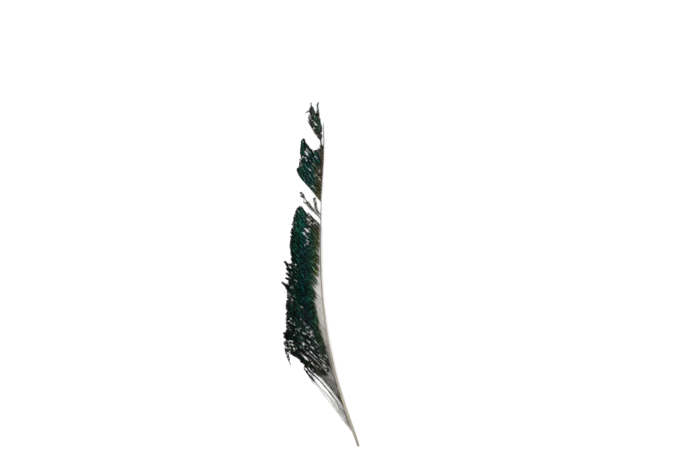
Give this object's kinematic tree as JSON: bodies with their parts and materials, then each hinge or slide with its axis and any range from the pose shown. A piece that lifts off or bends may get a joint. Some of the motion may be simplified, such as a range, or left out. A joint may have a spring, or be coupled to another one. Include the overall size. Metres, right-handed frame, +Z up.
{
  "type": "peacock sword feather",
  "caption": "Loose peacock sword feather lying flat: a bowed, tapering quill with an iridescent green vane along its left side only, split into separate locks.",
  "frame": {"origin": "middle of the feather's footprint, on the surface it lies on", "axes": "+Z up off the surface, +Y from the quill's end towards the feather's tip, -X the side the vane grows on"},
  "size_m": [0.0634, 0.3458, 0.0055],
  "materials": {
    "shaft_keratin": "satin",
    "bare_barbs": "matte",
    "vane_green": "satin",
    "brown_strand": "matte"
  },
  "bodies": {
    "root": {"shaft": "shaft_keratin", "basal_barbs": "bare_barbs", "lower_lock": "vane_green", "main_vane": "vane_green", "gap_strand_long": "brown_strand", "gap_strand_short": "brown_strand", "upper_lock": "vane_green", "tip_lock": "vane_green"}
  },
  "joints": []
}
